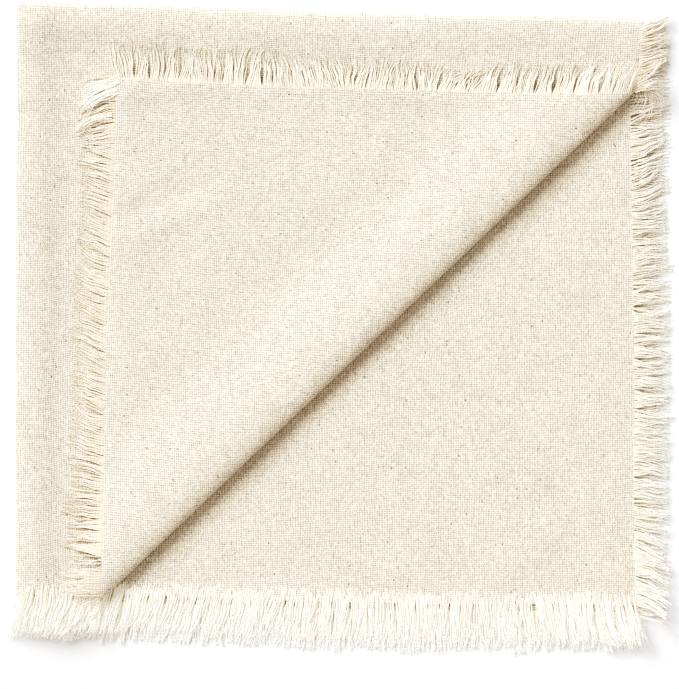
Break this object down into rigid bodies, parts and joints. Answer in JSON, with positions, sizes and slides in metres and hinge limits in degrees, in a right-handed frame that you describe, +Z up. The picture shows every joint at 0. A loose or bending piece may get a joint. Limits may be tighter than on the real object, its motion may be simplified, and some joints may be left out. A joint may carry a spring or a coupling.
{
  "type": "folded cloth napkin",
  "caption": "Square linen-look napkin with frayed fringe, folded in quarters and lying flat, its top layer's loose corner folded back over the diagonal in a soft roll.",
  "frame": {"origin": "middle of the underside's bounding rectangle, on the surface that the napkin lies on", "axes": "+Z up out of the stack, -X the side with the first fold, +Y the side with the second fold, so the open fringed sides face +X and -Y; the diagonal roll runs from the -X -Y corner to the +X +Y corner"},
  "size_m": [0.2648, 0.2616, 0.0133],
  "materials": {
    "linen_cloth": "matt plain weave with slubs",
    "fringe_yarn": "matt frayed yarn"
  },
  "bodies": {
    "root": {"cloth": "linen_cloth", "fringe_flap_top": "fringe_yarn", "fringe_flap_left": "fringe_yarn", "fringe_top_sheet_bottom": "fringe_yarn", "fringe_top_sheet_right": "fringe_yarn", "fringe_second_bottom": "fringe_yarn", "fringe_second_right": "fringe_yarn", "fringe_third_bottom": "fringe_yarn", "fringe_third_right": "fringe_yarn", "fringe_base_bottom": "fringe_yarn", "fringe_base_right": "fringe_yarn"}
  },
  "joints": []
}
